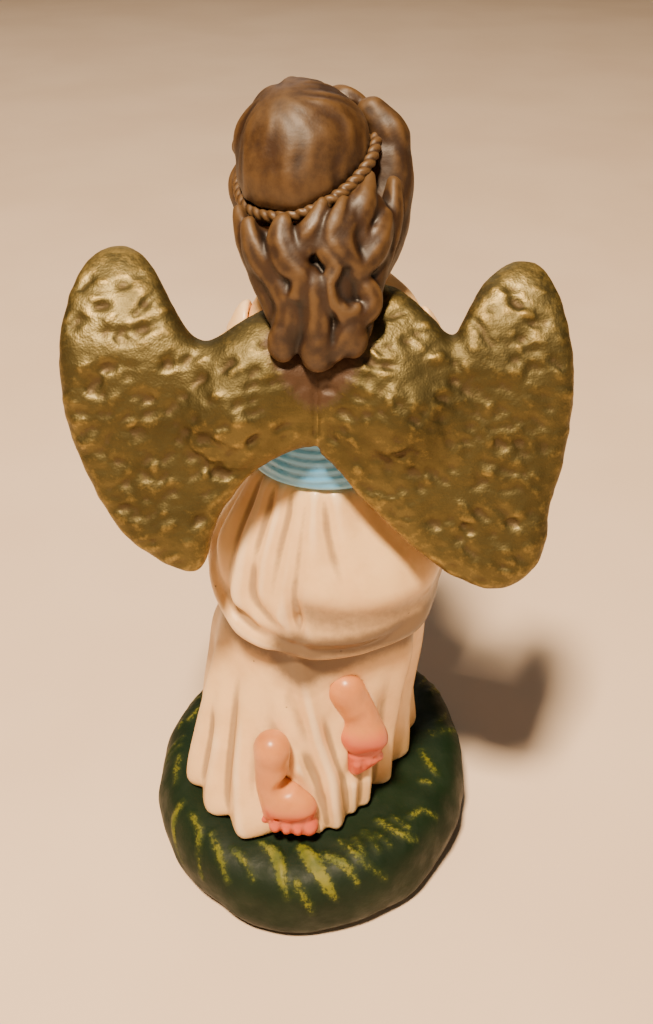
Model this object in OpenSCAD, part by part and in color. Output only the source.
// Kneeling resin angel figurine, assembled from separate castings on a wire armature.
// The angel faces -Y, its left side is +X, and it stands on Z = 0.
// Sizes are for a figurine 109 mm tall; figure_h scales the whole assembly.

/* [Figure] */
// Overall height of the figurine
figure_h = 109; // [80:1:200]
// How far the head turns towards the angel's right, in degrees
head_turn = 20; // [10:1:25]
// How far the crown leans towards the angel's left, in degrees
head_lean = 12; // [6:1:15]

/* [Base] */
// Width of the grass mound
base_w = 47.4; // [46:0.2:50]
// Depth of the grass mound
base_d = 56; // [54:0.5:58]
// Height of the flat top of the mound
base_h = 12; // [11.5:0.1:12.5]
// Thickness of the felt pad under the mound
felt_t = 0.8; // [0.4:0.1:1.2]

/* [Robe] */
// Half width of the tunic at the hips
hip_r = 16.2; // [15.5:0.1:17]
// Height of the waist seam, where the sash starts
waist_z = 63.6; // [63.2:0.1:64.2]
// Height of the sash's upper edge
sash_top_z = 73; // [72.5:0.1:73.5]
// Depth of the gathered folds, as a share of the cloth's radius
fold_depth = 0.02; // [0:0.005:0.03]

/* [Wings] */
// Greatest thickness of a wing
wing_t = 4.8; // [4:0.1:5.5]
// How far the wings' outer face leans out per millimetre of drop
wing_slope = 0.3; // [0.27:0.01:0.32]

/* [Armature] */
// Diameter of the upright armature wire
rod_d = 3; // [2:0.5:3.5]
// Diameter of the wing pins
pin_d = 1.6; // [1:0.2:2]

/* [Hidden] */

design_h = 109;
mid_x = -2.75;          // the upper body's centre line
clear = 0.05;           // gap around the armature wire and the pins
coarse = 12;            // facets round a blended ball
ring_n = 36;            // points round a loft
steps = 3;              // rings between two loft stations
felt_inset = 0.92;      // the pad's outline as a share of the mound's
base_turn = -10;        // the oval's long axis, from +Y

head_c = [-0.2, -1, 98.3];
band_c = [0, 0.6, 1.5]; // the headband's centre in the head's own frame
band_tilt = -24;
band_r = 8.7;
rod_c = [-2, 2, 5];
rod_len = 90;
pin_places = [[mid_x + 6.5, 80], [mid_x + 6, 75], [mid_x - 6.5, 80], [mid_x - 6, 75]];
pin_len = 5;
pin_start_y = 6;
wing_seam_x = -0.7;      // where the two wings meet, in x
wing_back_y = 9;        // the wings' outer face at shoulder height
wing_top_z = 88;

// Mound outline: height, share of the full width and depth
mound = [[felt_t, 0.955], [2.2, 0.985], [5, 1], [8, 0.99], [10.3, 0.955], [11.5, 0.9], [base_h, 0.84]];

// Robe stations: height, centre x, centre y, half width, half depth, turn, ripple, tilt
skirt_rows = [
    [base_h, 1.6, 0, 14.6, 21, -30, 1.6, 0],
    [16, 1.4, 0, 14.4, 20, -29, 1.6, 0],
    [22, 1, -0.3, 14.3, 17.8, -25, 1.3, 0],
    [29, 0.2, -0.2, 14.4, 15.4, -18, 1, 0],
    [36, -0.8, 1, 14.3, 12.8, -10, 0.7, 0],
    [42, -1.7, 2.2, 13, 10.8, -4, 0.4, 0],
    [46, -2, 2.8, 10.5, 9, 0, 0, 0]];
tunic_rows = [
    [42.5, -1.5, 3.5, hip_r - 3.7, 10.5, 0, 1, 0.22],
    [44, -1.8, 3.4, hip_r - 1.2, 12.6, 0, 1, 0.2],
    [48.5, -2.1, 3, hip_r, 13.4, 0, 0.8, 0.12],
    [53, -2.3, 2.8, hip_r - 0.6, 12.8, 0, 0.8, 0.05],
    [57.2, -2.4, 2.6, hip_r - 3, 10.8, 0, 1, 0],
    [61, -2.5, 2.4, hip_r - 5.4, 9, 0, 1, 0],
    [waist_z, -2.5, 2.2, hip_r - 6.6, 8, 0, 1, 0]];
sash_rows = [
    [waist_z, -2.5, 2.3, 10.3, 8.8, 0, 0, 0],
    [68, -2.6, 2.3, 10.1, 8.6, 0, 0, 0],
    [sash_top_z, -2.7, 2.2, 9.7, 8.2, 0, 0, 0]];
bodice_rows = [
    [sash_top_z, -2.7, 2.2, 9.4, 7.8, 0, 0, 0],
    [77, -2.9, 1.8, 10.2, 8.2, 0, 0, 0],
    [81, -3, 1.2, 10.6, 8.1, 0, 0, 0],
    [84, -3, 0.9, 9.6, 7.2, 0, 0, 0],
    [86.5, -2.9, 0.6, 7, 5.8, 0, 0, 0],
    [88.5, -2.8, 0.3, 4.8, 4.6, 0, 0, 0]];

// Wing outlines, x and z, round a middle point from which every edge can be seen
left_wing_c = [15.5, 72];
left_outline = [[-2.3, 76], [0.1, 71.2], [3.9, 70], [7.2, 66.8], [10.2, 63.2], [12, 58.6], [13.2, 55.6],
    [17.9, 56.8], [23.4, 61.6], [27.2, 69.8], [28.5, 78.5], [27.6, 86], [25.4, 90.8], [21.9, 92.4],
    [18.4, 90.6], [15.8, 86.3], [13.3, 82.3], [10, 81.9], [7.2, 84], [2.5, 86], [-2.3, 84.6]];
right_wing_c = [-17.5, 72];
right_outline = [[0.2, 84.5], [-4, 87], [-8.4, 88.2], [-11.7, 86.3], [-14.5, 83.9], [-16, 81.6],
    [-17.7, 84.8], [-20.1, 88.5], [-24.1, 90.8], [-27.3, 89.2], [-29.4, 83.9], [-30.2, 76], [-29.8, 68.3],
    [-28.4, 63], [-28.2, 59.4], [-26.3, 55.6], [-22.5, 53.7], [-17.5, 55], [-12.4, 58.6], [-6.1, 64.3],
    [-2.4, 68.4], [0.2, 71.2], [0.8, 77]];
// Thickness across a wing: share of the way out from the middle point, share of the full thickness
wing_crown = [[1, 0.3], [0.96, 0.62], [0.84, 0.86], [0.5, 0.96]];

// Point t of the way from b to c on the smooth curve through a, b, c and d
function curve(a, b, c, d, t) = 0.5 * ((2 * b) + (c - a) * t + (2 * a - 5 * b + 4 * c - d) * t * t
    + (3 * b - a - 3 * c + d) * t * t * t);

// A list of stations with smooth ones added between them
function refined(rows, n) = let(last = len(rows) - 1) [
    for (i = [0:last - 1], k = [0:n - 1])
        curve(rows[max(i - 1, 0)], rows[i], rows[i + 1], rows[min(i + 2, last)], k / n),
    rows[last]];

// A closed outline with smooth points added between its own
function smooth_outline(pts, n) = let(m = len(pts)) [
    for (i = [0:m - 1], k = [0:n - 1])
        curve(pts[(i + m - 1) % m], pts[i], pts[(i + 1) % m], pts[(i + 2) % m], k / n)];

// One ring of a robe: a turned ellipse with a gathered ripple
function robe_ring(row) = [for (i = [0:ring_n - 1]) let(
    a = 360 * i / ring_n,
    k = 1 + fold_depth * row[6] * (cos(7 * a + 2 * row[0]) + 0.6 * sin(11 * a - row[0])),
    x = row[3] * k * cos(a),
    y = row[4] * k * sin(a),
    yy = y * cos(row[5]) + x * sin(row[5]))
    [row[1] + x * cos(row[5]) - y * sin(row[5]), row[2] + yy, row[0] - row[7] * yy]];

// Closed solid through a stack of rings that all have n points
module stack(rings, n) {
    top = (len(rings) - 1) * n;
    polyhedron(
        points = [for (r = rings, p = r) p],
        faces = concat(
            [[for (i = [0:n - 1]) i]],
            [for (j = [0:len(rings) - 2], i = [0:n - 1]) let(a = j * n + i, b = j * n + (i + 1) % n)
                [a, a + n, b]],
            [for (j = [0:len(rings) - 2], i = [0:n - 1]) let(a = j * n + i, b = j * n + (i + 1) % n)
                [b, a + n, b + n]],
            [[for (i = [n - 1:-1:0]) top + i]]),
        convexity = 6);
}

module robe(rows) {
    stack([for (row = refined(rows, steps)) robe_ring(row)], ring_n);
}

module ball(p) {
    translate([p[0], p[1], p[2]]) sphere(r = p[3], $fn = coarse);
}

// A rounded limb or lock of hair through points of x, y, z and radius
module strand(pts) {
    for (i = [0:len(pts) - 2]) hull() {
        ball(pts[i]);
        ball(pts[i + 1]);
    }
}

// Stretches a ball into an egg of three radii
module egg(p, r, facets = 22) {
    translate(p) scale(r) sphere(r = 1, $fn = facets);
}

// A freely shaped casting, cut to fit its neighbours and kept at its own size
module casting() {
    resize([0, 0, 0]) children();
}

// Everything on one side of an upright plane, to part the left pieces from the right
module beyond(x, side) {
    reach = 120;
    translate([x + side * (reach / 2 - clear), 0, reach / 2]) cube([reach, reach, 2 * reach], center = true);
}

module armature_bore() {
    translate([rod_c[0], rod_c[1], rod_c[2] - clear])
        cylinder(d = rod_d + 2 * clear, h = rod_len + 2 * clear, $fn = 24);
}

// ---- Base ----
// An oval with a slight hand-modelled wobble, k times the mound's full size
function oval(k) = [for (i = [0:ring_n - 1]) let(
    a = 360 * i / ring_n,
    kk = k * (1 - 0.008 + 0.008 * cos(3 * a + 20) * sin(2 * a)),
    x = base_w / 2 * kk * cos(a),
    y = base_d / 2 * kk * sin(a))
    [x * cos(base_turn) - y * sin(base_turn), x * sin(base_turn) + y * cos(base_turn)]];

module felt_pad() {
    color("#3b4a3a") linear_extrude(felt_t) polygon(oval(felt_inset));
}

module base() {
    color("#20382a") casting() difference() {
        stack([for (row = mound) [for (p = oval(row[1])) [p[0], p[1], row[0]]]], ring_n);
        armature_bore();
    }
}

// ---- Robe ----
module skirt() {
    color("#efdcc3") casting() difference() {
        robe(skirt_rows);
        left_foot_form();
        right_foot_form();
        armature_bore();
    }
}

module tunic() {
    color("#ead6bb") casting() difference() {
        robe(tunic_rows);
        robe(skirt_rows);
        armature_bore();
    }
}

module waist_sash() {
    color("#6aa9bd") casting() difference() {
        robe(sash_rows);
        armature_bore();
    }
}

module bodice() {
    color("#efdcc3") casting() difference() {
        robe(bodice_rows);
        armature_bore();
        wing_pin_bores();
    }
}

// ---- Arms ----
// side is 1 for the angel's left and -1 for its right
module sleeve_form(side) {
    translate([mid_x, 0, 0]) {
        strand([[side * 8.4, 0.6, 80.8, 4], [side * 11, -0.8, 76, 4.2], [side * 11.8, -2, 71.5, 4.2],
            [side * 8, -9.5, 73.6, 3.9], [side * 4.4, -14, 77.6, 3.2]]);
        strand([[side * 11.4, -2.5, 70, 3.6], [side * 8.2, -9, 69.2, 3], [side * 5, -13, 72.2, 2.4]]);
    }
}

module hand_form(side) {
    lean = 0.42;
    translate([mid_x, 0, 0]) {
        hull() {
            ball([side * 2.3, -14.2, 79.5, 1.5]);
            ball([side * 1.3, -16, 84.5, 1.15]);
            ball([side * 1.3, -19.2, 82.6, 1.1]);
        }
        for (k = [0:3]) let(y = -16.1 - 1.05 * k, z = 84.6 - 0.65 * k, len = [4.9, 5.6, 5.3, 4.2][3 - k])
            strand([[side * 1.1, y, z, 0.8], [side * 0.85, y - lean * len, z + len, 0.6]]);
        strand([[side * 2, -15.2, 81.5, 0.9], [side * 1.4, -14.4, 85.6, 0.7]]);
    }
}

module sleeve(side) {
    color("#efdcc3") casting() difference() {
        sleeve_form(side);
        robe(bodice_rows);
        robe(sash_rows);
        hand_form(side);
        beyond(mid_x, -side);
    }
}

module left_sleeve() {
    sleeve(1);
}

module right_sleeve() {
    sleeve(-1);
}

module hand(side) {
    color("#e8b48c") casting() difference() {
        hand_form(side);
        beyond(mid_x, -side);
    }
}

module left_hand() {
    hand(1);
}

module right_hand() {
    hand(-1);
}

// ---- Feet, soles to the back ----
module foot_form(heel, arch, ball_in, ball_out, toe_drop) {
    strand([heel, arch]);
    hull() {
        ball(arch);
        ball(ball_in);
        ball(ball_out);
    }
    for (k = [0:4]) let(
        p = ball_in + (ball_out - ball_in) * k / 4,
        r = 1.35 - 0.11 * k)
        strand([[p[0], p[1], p[2] - 1, r + 0.3], [p[0], p[1] + 0.3, p[2] - toe_drop + 0.25 * k, r]]);
}

module left_foot_form() {
    foot_form([5.3, 18, 28.2, 2.6], [5.5, 18.4, 22.2, 2.3], [1.2, 18.9, 17.8, 2], [4.9, 18.6, 17.1, 2.1], 3.2);
}

module right_foot_form() {
    foot_form([-4.3, 12.2, 33.8, 2.7], [-6.5, 12.8, 29.4, 2.4], [-6, 13.4, 24.9, 2], [-8.6, 13, 25, 2], 4.6);
}

module left_foot() {
    color("#e3a887") casting() left_foot_form();
}

module right_foot() {
    color("#e3a887") casting() right_foot_form();
}

// ---- Head and hair ----
module head_frame() {
    translate(head_c) rotate([0, head_lean, -head_turn]) children();
}

module band_frame() {
    head_frame() translate(band_c) rotate([band_tilt, 0, 0]) children();
}

module neck_form() {
    strand([[mid_x, 0.4, 87, 4.2], [-1.2, 0, 94, 3.9]]);
}

module head_form() {
    head_frame() {
        egg([0, 0.8, 1.5], [7, 8, 7.9]);
        hull() {
            egg([0, -2.2, 0.2], [6.2, 5.4, 6.4], 20);
            egg([0, -4.6, -7], [2.6, 2.4, 2.2], 16);
        }
        // nose
        hull() {
            ball([0, -7.3, 0.4, 0.6]);
            ball([0, -8.3, -2.6, 0.9]);
        }
    }
}

module cap_form() {
    band_frame() intersection() {
        egg([0, 0.3, 0], [7.8, 8.9, 8.9], 26);
        translate([-20, -20, -0.4]) cube([40, 40, 20]);
    }
}

module band_form() {
    band_frame() scale([0.91, 1.04, 1]) rotate_extrude($fn = 36)
        translate([band_r, 0]) circle(r = 0.75, $fn = 9);
}

module front_form() {
    head_frame() {
        for (side = [-1, 1])
            strand([[0, -7.4, 5.6, 1.7], [side * 3.6, -7, 4.8, 1.9], [side * 6.2, -4.8, 2.2, 1.8]]);
    }
}

module left_hair_form() {
    strand([[5.6, -4.6, 101, 2], [6.4, -3, 96.8, 2.2], [6.1, -0.4, 93.4, 2.2], [5.2, 2.8, 91, 2.1]]);
}

module right_hair_form() {
    strand([[-6, -2.2, 103.2, 2.6], [-8.3, -1.2, 98.8, 3.3], [-8.2, 1.2, 93.8, 3.1], [-6.8, 4.2, 90.2, 2.8]]);
}

module back_hair_form() {
    strand([[-1.2, 5.6, 93, 5.2], [-2, 7, 88, 4]]);
    strand([[5.2, 5.8, 95.4, 3], [4.9, 8.4, 90.4, 2.8], [3.4, 10.4, 86, 2.2], [2.4, 12, 83, 1.4]]);
    strand([[2, 7.8, 95, 3], [1, 10, 90, 3], [0, 11.6, 85.6, 2.4], [-0.8, 12.6, 82.4, 1.4]]);
    strand([[-2.5, 7.4, 95.4, 3.2], [-3.2, 9.6, 90.4, 3.2], [-3.6, 11.4, 85.8, 2.6], [-2.4, 13, 80.8, 1.3]]);
    strand([[-6.3, 5.4, 96, 3.2], [-7, 7.4, 91.5, 3], [-6.2, 9.8, 87, 2.4], [-5.6, 11.6, 84, 1.5]]);
}

module neck() {
    color("#e8b48c") casting() difference() {
        neck_form();
        robe(bodice_rows);
        head_form();
        armature_bore();
    }
}

module head() {
    color("#e8b48c") casting() difference() {
        head_form();
        armature_bore();
    }
}

module headband() {
    color("#8a5f36") casting() difference() {
        band_form();
        head_form();
    }
}

module hair_cap() {
    color("#7a4f2c") casting() difference() {
        cap_form();
        head_form();
        band_form();
    }
}

module hair_front() {
    color("#7a4f2c") casting() difference() {
        front_form();
        head_form();
        cap_form();
        band_form();
    }
}

module hair_left() {
    color("#7a4f2c") casting() difference() {
        left_hair_form();
        head_form();
        cap_form();
        band_form();
        front_form();
        neck_form();
    }
}

module hair_right() {
    color("#7a4f2c") casting() difference() {
        right_hair_form();
        head_form();
        cap_form();
        band_form();
        front_form();
        neck_form();
    }
}

module hair_back() {
    color("#7a4f2c") casting() difference() {
        back_hair_form();
        head_form();
        cap_form();
        band_form();
        neck_form();
        left_hair_form();
        right_hair_form();
        robe(bodice_rows);
        armature_bore();
    }
}

// ---- Wings ----
// A lens through the outline: rings out across the back face, over the rim, then in across the front face
function wing_y(z) = wing_back_y + wing_slope * (wing_top_z - z) - wing_t / 2;

function wing_ring(pts, c, s, h) = [for (p = pts) let(x = c[0] + (p[0] - c[0]) * s, z = c[1] + (p[1] - c[1]) * s)
    [x, wing_y(z) + h, z]];

module wing_form(outline, c) {
    pts = smooth_outline(outline, 2);
    crown = len(wing_crown) - 1;
    stack(concat(
        [for (i = [crown:-1:0]) wing_ring(pts, c, wing_crown[i][0], wing_crown[i][1] * wing_t / 2)],
        [for (i = [0:crown]) wing_ring(pts, c, wing_crown[i][0], -wing_crown[i][1] * wing_t / 2)]), len(pts));
}

module wing_neighbours() {
    robe(bodice_rows);
    robe(sash_rows);
    back_hair_form();
    wing_pin_bores();
}

module left_wing() {
    color("#a07c2c") casting() difference() {
        wing_form(left_outline, left_wing_c);
        wing_neighbours();
        beyond(wing_seam_x, -1);
    }
}

module right_wing() {
    color("#a07c2c") casting() difference() {
        wing_form(right_outline, right_wing_c);
        wing_neighbours();
        beyond(wing_seam_x, 1);
    }
}

// ---- Fixings ----
module pins(d) {
    for (p = pin_places) translate([p[0], pin_start_y, p[1]]) rotate([-90, 0, 0])
        cylinder(d = d, h = pin_len, $fn = 20);
}

module wing_pin_bores() {
    pins(pin_d + 2 * clear);
}

module wing_pins() {
    color("silver") pins(pin_d);
}

module armature_rod() {
    color("silver") translate(rod_c) cylinder(d = rod_d, h = rod_len, $fn = 32);
}

module placed() {
    scale(figure_h / design_h) children();
}

placed() felt_pad();
placed() base();
placed() skirt();
placed() left_foot();
placed() right_foot();
placed() tunic();
placed() waist_sash();
placed() bodice();
placed() left_sleeve();
placed() right_sleeve();
placed() left_hand();
placed() right_hand();
placed() neck();
placed() head();
placed() hair_cap();
placed() headband();
placed() hair_front();
placed() hair_left();
placed() hair_right();
placed() hair_back();
placed() left_wing();
placed() right_wing();
placed() armature_rod();
placed() wing_pins();
